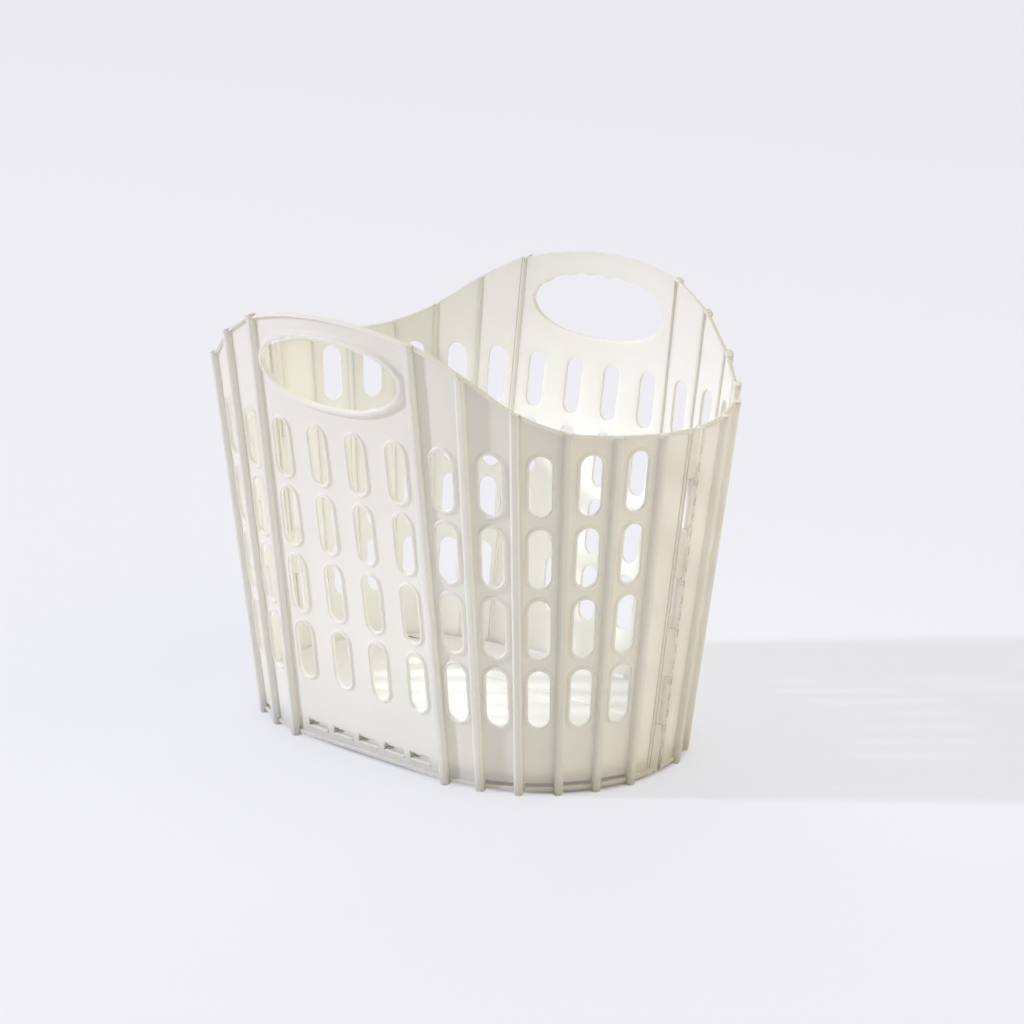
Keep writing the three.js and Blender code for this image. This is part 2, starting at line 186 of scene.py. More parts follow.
# Section of a hook: distance in from the wall's outer face, and height. Then the rounding of its
# corners, the room it leaves in its window, and how its two ends taper.
HOOK_SECTION = np.array([[0.4, 12.6], [0.4, 14.6], [7.0, 14.6], [8.0, 18.8], [11.5, 18.8],
                         [9.0, 12.6]])
HOOK_ROUNDING = [0.5, 0.5, 1.2, 0.6, 0.6, 1.5]
HOOK_ROOM = 0.9
HOOK_TAPER = 0.4
HOOK_END_SHRINK = 0.94

# Seam
KNUCKLES = 7
KNUCKLE_RADIUS = 2.8
KNUCKLE_WALL = 1.5
KNUCKLE_GAP = 0.8
CURL_CENTRE = np.array([-0.28, -1.98])
CURL_TURNS = np.radians(np.linspace(100, -165, 22))
TONGUE_LAP = 0.8
TONGUE_RUN = 0.6
TONGUE_RISE = 0.1

# Tabs across the seam, and the short dashes below each. Places along the stave are counted from
# the seam's corner line, outwards from the stave.
TAB_ALONG = (-6.4, 0.6)
TAB_HALF = 1.1
TAB_DEPTHS = (-0.8, 2.3)
DASH_ALONG = (-3.4, -1.4)
DASH_DEPTHS = (-0.4, 1.9)
DASHES = ((3.8, 1.1), (7.0, 1.0))

# The end stave. Insets are counted back from the seam's corner line.
SEAM_BEAD_INSETS = (12.4, 8.6)
SEAM_BEAD_HALF = 0.9
SEAM_BEAD_DEPTHS = (-0.5, 1.1)
SEAM_BEAD_SOFT = 0.5
SEAM_BEAD_FOOT = 5.0
SEAM_BEAD_HEAD = 3.5
SLITS_TO_A_KNUCKLE = 3
SLIT_HALF = 4.0
SLIT_NEAR = 1.6
SLIT_FAR = 4.6
SLIT_LEVEL = 200.0
SLIT_HEAD_BORDER = 6.0
RAIL_INSETS = (11.5, 7.2)
RAIL_DEPTHS = (-5.2, -4.2)
RAIL_SOFT = 0.3
RAIL_WEB_INSETS = (11.5, 7.8)
RAIL_WEB_WIDTH = 0.7
RAIL_WEB_DEPTHS = (-4.6, -1.5)
RAIL_FOOT = 2.0
RAIL_HEAD = 3.0

# Plastic: the shares of light that pass through it and just under its surface, and how far the
# second goes in metres
THROUGH_SHARE = 0.34
UNDER_SHARE = 0.15
UNDER_REACH = 0.001
UNDER_COLOURS = (1.0, 0.9, 0.65)
PLASTIC_IOR = 1.49

# The ground, in metres: half its width, and the half axes and the power of the oval in which the
# camera sees its true shade
GROUND_REACH = 20.0
OVAL_HALVES = (0.2296, 0.1475)
OVAL_POWER = 2.5


# Working out points

def stave_width(level):
    """Width between two rib lines: it grows evenly with the height."""
    return STAVE_FOOT_WIDTH + (STAVE_HEAD_WIDTH - STAVE_FOOT_WIDTH) * level / HEAD_LEVEL


def corner(index, level):
    """A point on a rib line: half the handle's width, then one stave's width along each heading."""
    width = stave_width(level)
    x = HANDLE_WIDTH / 2 + width * np.cos(HEADINGS[:index]).sum()
    y = width * (np.sin(HEADINGS[:index]).sum() - np.sin(HEADINGS).sum())
    return np.array([x, y, level])


def cubic(start, end, slope_start, slope_end, share):
    """The cubic that has these heights and slopes at its two ends."""
    rest = 1 - share
    return (start * (1 + 2 * share) * rest**2 + end * share**2 * (3 - 2 * share)
            + slope_start * share * rest**2 - slope_end * share**2 * rest)


def stave_rim(index, along):
    """Height of a stave's upper edge: a cubic from rib line to rib line, over the stave's width."""
    width = stave_width(RIM_HEIGHTS[index])
    share = np.clip(along / width + 0.5, 0, 1)
    return cubic(RIM_HEIGHTS[index], RIM_HEIGHTS[index + 1],
                 RIM_SLOPES[index], RIM_SLOPES[index + 1], share)


def handle_rim(along):
    """Height of the handle panel's upper edge: a parabola that is highest in the middle."""
    drop = RIM_CROWN - RIM_HEIGHTS[0]
    return RIM_CROWN - drop * (along / (HANDLE_WIDTH / 2 - RIB_HALF)) ** 2


def rounded(outline, radius, steps=3):
    """Each corner becomes a parabola between points one radius before and after it."""
    points = np.array(outline, dtype=float)
    radius = np.broadcast_to(np.asarray(radius, dtype=float), len(points))[:, None]
    before = np.roll(points, 1, axis=0) - points
    after = np.roll(points, -1, axis=0) - points
    start = points + before / np.linalg.norm(before, axis=1)[:, None] * radius
    end = points + after / np.linalg.norm(after, axis=1)[:, None] * radius
    share = np.linspace(0, 1, steps + 1)[None, :, None]
    curve = (start[:, None] * (1 - share) ** 2 + 2 * points[:, None] * share * (1 - share)
             + end[:, None] * share**2)
    return curve.reshape(-1, 2)


class Panel:
    """The axes of a flat panel. A point (s, z, d) is s along it, z up it and d outwards."""

    def __init__(self, foot, head, along):
        self.foot = foot
        self.along = along
        self.rise = (head - foot) / (head[2] - foot[2])
        normal = np.cross(along, self.rise)
        self.normal = normal / np.linalg.norm(normal)

    def place(self, points):
        """The foot plus each of the three distances times its axis."""
        s, z, d = np.moveaxis(points, -1, 0)[..., None]
        return self.foot + s * self.along + z * self.rise + d * self.normal


class BowedPanel(Panel):
    """A panel that bows outwards, more towards its top and towards its middle line."""

    def place(self, points):
        """Outwards by a parabola across the width that grows evenly above its foot."""
        s, z, d = np.moveaxis(points, -1, 0)
        rise = np.clip((z - BOW_FOOT) / (RIM_CROWN - BOW_FOOT), 0, 1)
        ease = rise * rise * (1 + BOW_EASE - BOW_EASE * rise)
        bow = BOW_RISE * ease * (1 - (2 * s / HANDLE_WIDTH) ** 2)
        return super().place(np.stack([s, z, d + bow], axis=-1))


class RibLine(Panel):
    """The axes of a rib. A point (s, z, d) is s across it, at the height z, and d outwards."""

    def place(self, points):
        """The point of the sloping rib that lies exactly at the height z."""
        s, z, d = np.moveaxis(points, -1, 0)[..., None]
        up = (z - s * self.along[2] - d * self.normal[2]) / self.rise[2]
        return self.foot + s * self.along + up * self.rise + d * self.normal


def stave_panel(index):
    """The panel between two rib lines."""
    foot = (corner(index, 0) + corner(index + 1, 0)) / 2
    head = (corner(index, HEAD_LEVEL) + corner(index + 1, HEAD_LEVEL)) / 2
    along = corner(index + 1, 0) - corner(index, 0)
    return Panel(foot, head, along / np.linalg.norm(along))


def handle_panel(kind=BowedPanel):
    """The wide panel in the middle of a half."""
    middle = np.array([0, 1, 1])
    return kind(corner(0, 0) * middle, corner(0, HEAD_LEVEL) * middle, np.array([1.0, 0, 0]))


def rib_line(index):
    """The rib between two panels faces midway between their two outward directions."""
    before = handle_panel(Panel) if index == 0 else stave_panel(index - 1)
    outward = before.normal + stave_panel(index).normal
    foot, head = corner(index, 0), corner(index, HEAD_LEVEL)
    across = np.cross((head - foot) / HEAD_LEVEL, outward)
    return RibLine(foot, head, across / np.linalg.norm(across))


# Gathering surfaces into one mesh

class Skin:
    """Collects grids of points, joined into four-sided faces, and outlines closed by one face."""

    def __init__(self):
        self.points = []
        self.quads = []
        self.caps = []
        self.count = 0

    def keep(self, points):
        """Adds points and gives their numbers in the same arrangement."""
        flat = points.reshape(-1, 3)
        numbers = self.count + np.arange(len(flat)).reshape(points.shape[:-1])
        self.points.append(flat)
        self.count += len(flat)
        return numbers

    def grid(self, points, wrap=False, shown=None):
        """Faces between neighbouring rows and columns, and from the last column to the first."""
        numbers = self.keep(points)
        ring = np.concatenate([numbers, numbers[:, :1]], axis=1) if wrap else numbers
        quads = np.stack([ring[:-1, :-1], ring[:-1, 1:], ring[1:, 1:], ring[1:, :-1]], axis=-1)
        self.quads.append(quads[shown] if shown is not None else quads.reshape(-1, 4))
        return numbers

    def cap(self, points):
        """One face over an outline."""
        self.caps.append(self.keep(points).tolist())

    def solid(self, rings):
        """A closed body through a row of outlines, with a face over the first and the last."""
        self.grid(rings, wrap=True)
        self.cap(rings[0])
        self.cap(rings[-1])


def shown(name, data):
    """An object that carries this data, put into the scene."""
    thing = bpy.data.objects.new(name, data)
    bpy.context.scene.collection.objects.link(thing)
    return thing


BODY_OF = {node: body for body, nodes in frame["record"]["behaviour"]["bodies"].items()
           for node in nodes}


def make_piece(node, skin, panel, signs, material):
    """Turns a skin into a piece that stands for a CAD node and rides on its body."""
    points = panel.place(np.concatenate(skin.points)) * np.array([*signs, 1]) * MM
    quads = np.concatenate(skin.quads)
    used = np.unique(np.concatenate([quads.ravel(), *map(np.array, skin.caps)]).astype(int))
    place_of = np.zeros(len(points), dtype=int)
    place_of[used] = np.arange(len(used))
    faces = place_of[quads].tolist() + [place_of[cap].tolist() for cap in skin.caps]
    mesh = bpy.data.meshes.new(node + "_moulding")
    mesh.from_pydata(points[used].tolist(), [], faces)
    work = bmesh.new()
    work.from_mesh(mesh)
    bmesh.ops.remove_doubles(work, verts=work.verts, dist=WELD * MM)
    bmesh.ops.recalc_face_normals(work, faces=work.faces)
    work.to_mesh(mesh)
    work.free()
    mesh.shade_smooth()
    mesh.set_sharp_from_angle(angle=math.radians(SHARP_ANGLE))
    mesh.materials.append(material)
    piece = shown(node + "_moulding", mesh)
    edge = piece.modifiers.new("rounded_edges", "BEVEL")
    edge.width = EDGE_RADIUS * MM
    edge.segments = 2
    edge.limit_method = "ANGLE"
    edge.angle_limit = math.radians(BEVEL_ANGLE)
    edge.harden_normals = True
    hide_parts(node)
    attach(piece, BODY_OF[node])
    return piece


# Plates

def slab(skin, s, z, solid, walled):
    """A plate over a grid of (s, z), solid where a cell says so. Walls close the cut edges, and
    the outer sides named in walled: left, right, low, high."""
    numbers = [skin.grid(np.stack([s, z, np.full_like(s, d)], axis=-1), shown=solid)
               for d in (0.0, -WALL)]
    across = np.pad(solid, ((0, 0), (1, 1)), mode="edge")
    upward = np.pad(solid, ((1, 1), (0, 0)), mode="edge")
    across[:, 0] &= "left" not in walled
    across[:, -1] &= "right" not in walled
    upward[0] &= "low" not in walled
    upward[-1] &= "high" not in walled
    for change, step in ((across[:, 1:] != across[:, :-1], (1, 0)),
                         (upward[1:] != upward[:-1], (0, 1))):
        i, j = np.nonzero(change)
        ends = [(i, j), (i + step[0], j + step[1])]
        front, back = [[layer[a, b] for a, b in ends] for layer in numbers]
        skin.quads.append(np.stack([front[0], front[1], back[1], back[0]], axis=-1))


def plain(skin, left, right, shares, levels, walled, holes=()):
    """A plate between two side lines, over given shares of its width and given levels. A level is
    a height, or a row of heights. A hole is left out: (first share, last share, first and last
    level), as counts."""
    z = np.stack([np.broadcast_to(level, len(shares)) for level in levels]).astype(float)
    s = left(z) + shares * (right(z) - left(z))
    solid = np.ones((len(levels) - 1, len(shares) - 1), dtype=bool)
    for s0, s1, z0, z1 in holes:
        solid[z0:z1, s0:s1] = False
    slab(skin, s, z, solid, walled)


def slot_round():
    """Once round a slot, anticlockwise from its lower right: the angle of each point, and how far
    up the straight part it stands, from -1 to 1."""
    eighth = ARC_STEPS // 4
    bend = np.arange(-eighth, 0) * np.pi / ARC_STEPS
    climb = np.linspace(-1, 1, STRAIGHT_STEPS + 1)[:-1]
    crest = np.arange(0, 3 * eighth) * np.pi / ARC_STEPS
    angle = np.concatenate([bend, 0 * climb, crest])
    height = np.concatenate([-1 + 0 * bend, climb, 1 + 0 * crest])
    return np.concatenate([angle, angle + np.pi]), np.concatenate([height, -height])


ROUND_ANGLE, ROUND_HEIGHT = slot_round()
SIDE_COUNT = ARC_STEPS // 2 + STRAIGHT_STEPS
TOP_COUNT = ARC_STEPS // 2
TOP_SHARES = (1 + np.tan(np.linspace(-np.pi / 4, np.pi / 4, TOP_COUNT + 1))) / 2


def slot_cell(skin, middle, centre, left, right, foot_shares=TOP_SHARES, walled=()):
    """A rectangle of plate round one slot. Rings run from the border to the bead, over it, down
    through the slot and back to the border on the inner face."""
    grow = CELL_HALF - SLOT_STRAIGHT
    half = SIDE_COUNT + TOP_COUNT
    turned = ROUND_ANGLE.copy()
    turned[half:] -= np.pi
    climb = grow * np.tan(np.clip(turned, -np.pi / 4, np.pi / 4))
    z = np.empty(2 * half)
    z[:half] = (SLOT_STRAIGHT * ROUND_HEIGHT + climb)[:half]
    z[half:] = (SLOT_STRAIGHT * ROUND_HEIGHT - climb)[half:]
    z[SIDE_COUNT:half] = CELL_HALF
    z[half + SIDE_COUNT:] = -CELL_HALF
    z = middle + z
    share = np.concatenate([np.ones(SIDE_COUNT), 1 - TOP_SHARES[:-1],
                            np.zeros(SIDE_COUNT), foot_shares[:-1]])
    s = left(z) + share * (right(z) - left(z))
    border = np.stack([s, z, np.zeros_like(s)], axis=-1)

    def ring(out, height):
        """The slot's outline grown by a distance, at a height above the plate."""
        radius = SLOT_HALF_WIDTH + out
        return np.stack([centre + radius * np.cos(ROUND_ANGLE),
                         middle + SLOT_STRAIGHT * ROUND_HEIGHT + radius * np.sin(ROUND_ANGLE),
                         np.full_like(s, height)], axis=-1)

    outer = ring(*BEAD[0])
    back = np.array([0, 0, -WALL])
    rings = [border, (border + outer) / 2, *[ring(*step) for step in BEAD],
             *[ring(out, lift - WALL) for out, lift in INNER_EDGE],
             (border + back + ring(INNER_SPREAD, -WALL)) / 2, border + back]
    skin.grid(np.stack(rings), wrap=True)
    edges = np.stack([border, border + back])
    if "right" in walled:
        skin.grid(edges[:, :SIDE_COUNT + 1])
    if "left" in walled:
        skin.grid(edges[:, half:half + SIDE_COUNT + 1])


# Bars and pads

def rod(skin, s, z, section, lean=0.0):
    """A bar along a line of (s, z): at each point the section stands across the line, its first
    value outwards and its second upwards. Its first end can lean away from its neighbour."""
    outward, upward = np.array(section).T
    rings = np.stack([s[:, None] + 0 * outward, z[:, None] + upward,
                      0 * z[:, None] + outward], axis=-1)
    rings[0, :, 0] += lean * np.maximum(outward, 0)
    skin.solid(rings)


def post(skin, z, sides, depths, soft=0.0):
    """A strip that stands between two side lines s(z) and two depths."""
    low, high = [line(z) for line in sides]
    near, far = depths
    outline = rounded([[0, near], [1, near], [1, far], [0, far]], soft, 2) if soft else \
        np.array([[0, near], [1, near], [1, far], [0, far]], dtype=float)
    share, depth = outline.T
    s = low[:, None] + share * (high - low)[:, None]
    skin.solid(np.stack([s, np.broadcast_to(z[:, None], s.shape),
                         np.broadcast_to(depth, s.shape)], axis=-1))


def pad(skin, low, high, radius):
    """A block with rounded edges: its outline in (s, d) shrinks towards its foot and its head."""
    low, high = np.array(low, dtype=float), np.array(high, dtype=float)
    middle, half = (low + high) / 2, (high - low) / 2
    rings = []
    for up, inset in ((-1, 1.0), (-1, 0.35), (-1, 0.0), (1, 0.0), (1, 0.35), (1, 1.0)):
        level = middle[1] + up * (half[1] - radius * (1 - inset) ** 2)
        a, b = half[0] - radius * inset * 0.6, half[2] - radius * inset * 0.6
        outline = rounded([[-a, -b], [a, -b], [a, b], [-a, b]], radius * 0.8, 2)
        rings.append(np.stack([middle[0] + outline[:, 0], np.full(len(outline), level),
                               middle[2] + outline[:, 1]], axis=-1))
    skin.solid(np.stack(rings))


def ring_bead(skin, centre, radius, tube):
    """A raised ring: a small circle carried round a larger one."""
    turn = np.linspace(0, 2 * np.pi, 28, endpoint=False)
    swing = np.linspace(0, 2 * np.pi, 8, endpoint=False)
    reach = radius + tube * np.cos(swing)[:, None]
    rings = np.stack([centre[0] + reach * np.cos(turn), centre[1] + reach * np.sin(turn),
                      tube * np.sin(swing)[:, None] + 0 * turn], axis=-1)
    skin.grid(np.concatenate([rings, rings[:1]]), wrap=True)


LIP_SECTION = rounded([[-1.0, -3.0], [3.5, -3.0], [3.5, -2.2], [0.5, 0.0], [-1.0, 0.0]],
                      [0.3, 0.3, 0.5, 0.8, 0.3])
BAND_SECTION = rounded([[-1.0, 0.0], [2.0, 0.0], [2.0, 4.2], [-1.0, 4.2]], [0.2, 0.6, 0.8, 0.2])


# Staves

def stave_sides(index):
    """The two side lines of a stave's plate. It laps a rib that doesn't bend beside it."""
    near_gap = RIB_HALF + FOLD_GAP if index in FOLD_RIBS else RIB_HALF - SIDE_LAP
    far_gap = SEAM_EDGE_GAP if index == END else RIB_HALF - SIDE_LAP
    return (lambda z: near_gap - stave_width(z) / 2), (lambda z: stave_width(z) / 2 - far_gap)


def stave_edging(skin, index, left, right):
    """The lip along the rim, the band along the foot, and the thin web of a fold."""
    level = RIM_HEIGHTS[index]
    lean = FOLD_LEAN if index in FOLD_RIBS else 0.0
    s = np.linspace(left(level), right(level), 25)
    rod(skin, s, stave_rim(index, s), LIP_SECTION, lean)
    s = np.array([left(WALL_FOOT), right(WALL_FOOT)])
    rod(skin, s, np.full(2, WALL_FOOT), BAND_SECTION, lean)
    if index in FOLD_RIBS:
        z = np.array([WALL_FOOT + WEB_FOOT, RIM_HEIGHTS[index] - WEB_HEAD])
        post(skin, z, (lambda z: left(z) - FOLD_GAP - SIDE_LAP, lambda z: left(z) + WEB_LAP),
             WEB_DEPTHS)


def stave_head(skin, index, left, right, shares):
    """The plain top of a stave, from the last slot's cell to the rim."""
    level = RIM_HEIGHTS[index]
    along = left(level) + shares * (right(level) - left(level))
    top = stave_rim(index, along) - RIM_TUCK
    climb = np.linspace(0, 1, 8)
    levels = [FIELD_HEAD + (top - FIELD_HEAD) * share for share in climb]
    plain(skin, left, right, shares, levels, ("left", "right", "high"))


def stave(index):
    """A stave with its column of slots. Each but the first of a quarter has a drain slit."""
    skin = Skin()
    left, right = stave_sides(index)
    foot = WALL_FOOT + RIM_TUCK / 2
    shares = TOP_SHARES.copy()
    drain = ()
    if index > 0:
        level = (DRAIN_FOOT + DRAIN_HEAD) / 2
        width = right(level) - left(level)
        shares[1] = DRAIN_INSET / width
        shares[-2] = 1 - DRAIN_INSET / width
        drain = ((1, len(shares) - 2, 1, 2),)
    levels = [foot, DRAIN_FOOT, DRAIN_HEAD, DRAIN_BORDER]
    plain(skin, left, right, shares, levels, ("left", "right", "low"), drain)
    between = np.stack([shares, TOP_SHARES])
    z = np.array([[DRAIN_BORDER], [COLUMNS_MEET]]) + 0 * between
    slab(skin, left(z) + between * (right(z) - left(z)), z,
         np.ones((1, len(shares) - 1), dtype=bool), ("left", "right"))
    levels = [COLUMNS_MEET, FOOT_MIDDLE, FIELD_FOOT]
    plain(skin, left, right, TOP_SHARES, levels, ("left", "right"))
    for middle in SLOT_MIDDLES:
        slot_cell(skin, middle, 0.0, left, right, walled=("left", "right"))
    stave_head(skin, index, left, right, TOP_SHARES)
    stave_edging(skin, index, left, right)
    return skin


# The end stave, with its share of the seam's knuckles

def knuckle_span(slot):
    """Foot and head of a knuckle."""
    pitch = (RIM_HEIGHTS[-1] - WALL_FOOT) / KNUCKLES
    foot = WALL_FOOT + slot * pitch + KNUCKLE_GAP / 2
    return foot, foot + pitch - KNUCKLE_GAP


def curl_outline():
    """Section of a knuckle: a tongue that leaves the plate and curls round the seam's axis. It is
    a centre line, a straight run and an arc, thickened to both sides. Distances are from the
    seam's corner line."""
    middle = KNUCKLE_RADIUS - KNUCKLE_WALL / 2
    arc = CURL_CENTRE + middle * np.stack([np.cos(CURL_TURNS), np.sin(CURL_TURNS)], axis=-1)
    start = np.array([[-SEAM_EDGE_GAP - TONGUE_LAP, -WALL / 2],
                      [-SEAM_EDGE_GAP + TONGUE_RUN, -WALL / 2 + TONGUE_RISE]])
    line = np.concatenate([start, arc])
    way = np.gradient(line, axis=0)
    side = np.stack([-way[:, 1], way[:, 0]], axis=-1) / np.linalg.norm(way, axis=1)[:, None]
    half = KNUCKLE_WALL / 2
    return np.concatenate([line + side * half, (line - side * half)[::-1]])


def knuckles(skin, slots):
    """The curls of one side of the seam, each a straight run of the section up the seam."""
    along, depth = curl_outline().T
    for slot in slots:
        foot, head = knuckle_span(slot)
        z = np.array([foot, head])[:, None] + 0 * along
        skin.solid(np.stack([stave_width(z) / 2 + along, z, depth + 0 * z], axis=-1))


def seam_tabs(skin):
    """A small tab across the seam at each change of knuckle, with two short dashes below it."""
    for slot in range(1, KNUCKLES):
        level = knuckle_span(slot)[0] - KNUCKLE_GAP / 2
        edge = stave_width(level) / 2
        pad(skin, (edge + TAB_ALONG[0], level - TAB_HALF, TAB_DEPTHS[0]),
            (edge + TAB_ALONG[1], level + TAB_HALF, TAB_DEPTHS[1]), PAD_RADIUS)
        for drop, half in DASHES:
            pad(skin, (edge + DASH_ALONG[0], level - drop - half, DASH_DEPTHS[0]),
                (edge + DASH_ALONG[1], level - drop + half, DASH_DEPTHS[1]), PAD_RADIUS)


def seam_beads(skin):
    """Two raised beads that run up beside the seam."""
    z = np.linspace(WALL_FOOT + SEAM_BEAD_FOOT, RIM_HEIGHTS[END] - SEAM_BEAD_HEAD, 3)
    for inset in SEAM_BEAD_INSETS:
        post(skin, z, (lambda z: stave_width(z) / 2 - inset - SEAM_BEAD_HALF,
                       lambda z: stave_width(z) / 2 - inset + SEAM_BEAD_HALF),
             SEAM_BEAD_DEPTHS, SEAM_BEAD_SOFT)


def seam_rail(skin):
    """A flat rail on the inner face beside the seam, carried by two thin webs."""
    z = np.array([WALL_FOOT + RAIL_FOOT, RIM_HEIGHTS[END] - RAIL_HEAD])
    post(skin, z, (lambda z: stave_width(z) / 2 - RAIL_INSETS[0],
                   lambda z: stave_width(z) / 2 - RAIL_INSETS[1]), RAIL_DEPTHS, RAIL_SOFT)
    for inset in RAIL_WEB_INSETS:
        post(skin, z, (lambda z: stave_width(z) / 2 - inset,
                       lambda z: stave_width(z) / 2 - inset + RAIL_WEB_WIDTH), RAIL_WEB_DEPTHS)


def slit_levels():
    """The feet and heads of the narrow slits, evenly spaced up the seam."""
    count = SLITS_TO_A_KNUCKLE * KNUCKLES
    pitch = (RIM_HEIGHTS[-1] - WALL_FOOT) / KNUCKLES / SLITS_TO_A_KNUCKLE
    feet = WALL_FOOT + pitch * (np.arange(count) + 0.5) - SLIT_HALF
    return np.stack([feet, feet + 2 * SLIT_HALF], axis=-1)


def end_stave(slots, beaded):
    """The blank stave beside the seam. On one side of the seam it has beads, on the other a row
    of slits, tabs and an inner rail. The topmost slit is left out."""
    skin = Skin()
    left, right = stave_sides(END)
    slits = slit_levels()
    width = right(SLIT_LEVEL) - left(SLIT_LEVEL)
    shares = np.array([0, 0.25, 0.5, 1 - SLIT_FAR / width, 1 - SLIT_NEAR / width, 1])
    top = stave_rim(END, left(RIM_HEIGHTS[-1]) + shares * width) - RIM_TUCK
    levels = [WALL_FOOT + RIM_TUCK / 2, *slits[:-1].ravel(), top - SLIT_HEAD_BORDER, top]
    holes = [] if beaded else [(3, 4, 2 * row + 1, 2 * row + 2) for row in range(len(slits) - 1)]
    plain(skin, left, right, shares, levels, ("left", "right", "low", "high"), holes)
    stave_edging(skin, END, left, right)
    knuckles(skin, slots)
    if beaded:
        seam_beads(skin)
    else:
        seam_tabs(skin)
        seam_rail(skin)
    return skin


# Ribs

def rib(index):
    """A rib: a bar with bevelled shoulders outside and a shallow channel inside, under a rounded
    cap that slopes with the rim."""
    skin = Skin()
    inner = RIB_HALF - RIB_WALL
    narrow = inner - CHANNEL_BEVEL
    bevel = CHANNEL_FLOOR - CHANNEL_BEVEL
    outline = rounded(
        [[RIB_HALF, -WALL], [RIB_HALF, RIB_SHOULDER], [RIB_TOP_HALF, RIB_REACH],
         [-RIB_TOP_HALF, RIB_REACH], [-RIB_HALF, RIB_SHOULDER], [-RIB_HALF, -WALL],
         [-inner, -WALL], [-inner, bevel], [-narrow, CHANNEL_FLOOR], [narrow, CHANNEL_FLOOR],
         [inner, bevel], [inner, -WALL]],
        [0.3, 0.5, 0.5, 0.5, 0.5, 0.3, 0.3, 0.4, 0.4, 0.4, 0.4, 0.3], 2)
    top = RIM_HEIGHTS[index]
    slope = (RIM_SLOPES[index] + (0 if index else FIRST_RIB_EASE)) / stave_width(top)
    levels = np.array([0.0, 0.5, top / 2, top - 1.0])
    grow = np.array([RIB_FOOT_SHRINK, 1.0, 1.0, 1.0])
    rings = np.stack([grow[:, None] * outline[:, 0],
                      levels[:, None] + 0 * outline[:, 0],
                      0 * levels[:, None] + outline[:, 1]], axis=-1)
    rings[-1, :, 1] += slope * rings[-1, :, 0]
    skin.solid(rings)
    cap = rounded([[CAP_HALF, -WALL], [CAP_HALF, CAP_SHOULDER], [CAP_TOP_HALF, CAP_REACH],
                   [-CAP_TOP_HALF, CAP_REACH], [-CAP_HALF, CAP_SHOULDER], [-CAP_HALF, -WALL]],
                  [0.5, 1.4, 1.4, 1.4, 1.4, 0.5])
    shrink = 1 - CAP_INSETS[:, None] / CAP_SIZE
    skin.solid(np.stack([cap[:, 0] * shrink, top - CAP_DROPS[:, None] + slope * cap[:, 0],
                         cap[:, 1] * shrink], axis=-1))
    return skin


# Handle panel

def hole_round(spread):
    """Once round the hand hole, anticlockwise from its lower right, as shares of its half length
    and half height. The straight runs follow the border's points below and above; the two ends
    follow a swept angle."""
    turn = np.linspace(-np.pi / 4, np.pi / 4, HOLE_END_STEPS + 1)[:-1]
    end = np.cos(turn) ** (2 / HOLE_END_POWER)
    end_up = np.sign(turn) * np.abs(np.sin(turn)) ** (2 * HOLE_SIDE_POWER)
    reach = math.cos(math.pi / 4) ** (2 / HOLE_END_POWER)
    above = np.linspace(1, -1, HOLE_RUN_STEPS + 1)[:-1] * reach
    below = spread[:-1] * reach
    across = np.concatenate([end, above, -end, below])
    height = lambda share: (1 - np.abs(share) ** HOLE_END_POWER) ** HOLE_SIDE_POWER
    up = np.concatenate([end_up, height(above), -end_up, -height(below)])
    return across, up, reach


def scallop_hang(s):
    """How far the lobes between the finger scallops hang down, fading out past the row's ends."""
    half = SCALLOP_COUNT * SCALLOP_PITCH / 2
    from_start = s - SCALLOP_SHIFT + half
    wave = 1 - np.abs(np.sin(np.pi * from_start / SCALLOP_PITCH))
    beyond = np.maximum(np.abs(s - SCALLOP_SHIFT) - half, 0)
    wave = np.where(beyond > 0, np.clip(1 - beyond / SCALLOP_END_FADE, 0, 1) ** 2, wave)
    return SCALLOP_DEPTH * wave


def hand_hole(skin, columns):
    """The top of the handle panel: rings from its border to the collar, over the collar, through
    the hole and back to the border on the inner face."""
    across, up, reach = hole_round(columns / HANDLE_EDGE)
    ends, top = HOLE_END_STEPS, HOLE_RUN_STEPS
    s = across / reach * HANDLE_EDGE
    s[:ends] = HANDLE_EDGE
    s[ends + top:2 * ends + top] = -HANDLE_EDGE
    side = np.linspace(0, 1, ends + 1)[:-1]
    head = handle_rim(s) - RIM_TUCK
    z = np.full_like(s, FIELD_HEAD)
    z[:ends] = FIELD_HEAD + (head[0] - FIELD_HEAD) * side
    z[ends:ends + top] = head[ends:ends + top]
    z[ends + top:2 * ends + top] = FIELD_HEAD + (head[0] - FIELD_HEAD) * (1 - side)
    border = np.stack([s, z, np.zeros_like(s)], axis=-1)

    def ring(out, height):
        """The hole's outline grown by a distance; the scallops fade out with that distance."""
        x = (HOLE_HALF_LENGTH + out) * across
        hang = scallop_hang(x) * np.clip(1 - out / SCALLOP_COLLAR_FADE, 0, 1) * (up > 0)
        y = HOLE_LEVEL + (HOLE_HALF_HEIGHT + out) * up - hang
        return np.stack([x, y, np.full_like(x, height)], axis=-1)

    back = np.array([0, 0, -WALL])
    foot = ring(*COLLAR[0])
    inner = ring(INNER_EDGE[-1][0], -WALL)
    spread = [border + (foot - border) * share for share in (0, 0.3, 0.6, 0.85)]
    behind = [border + back + (inner - border - back) * share for share in (0.85, 0.6, 0.3, 0)]
    rings = [*spread, *[ring(*step) for step in COLLAR],
             *[ring(out, lift - WALL) for out, lift in INNER_EDGE], *behind]
    skin.grid(np.stack(rings), wrap=True)
    edges = np.stack([border, border + back])
    skin.grid(edges[:, :ends + 1])
    skin.grid(edges[:, ends:ends + top + 1])
    skin.grid(edges[:, ends + top:2 * ends + top + 1])


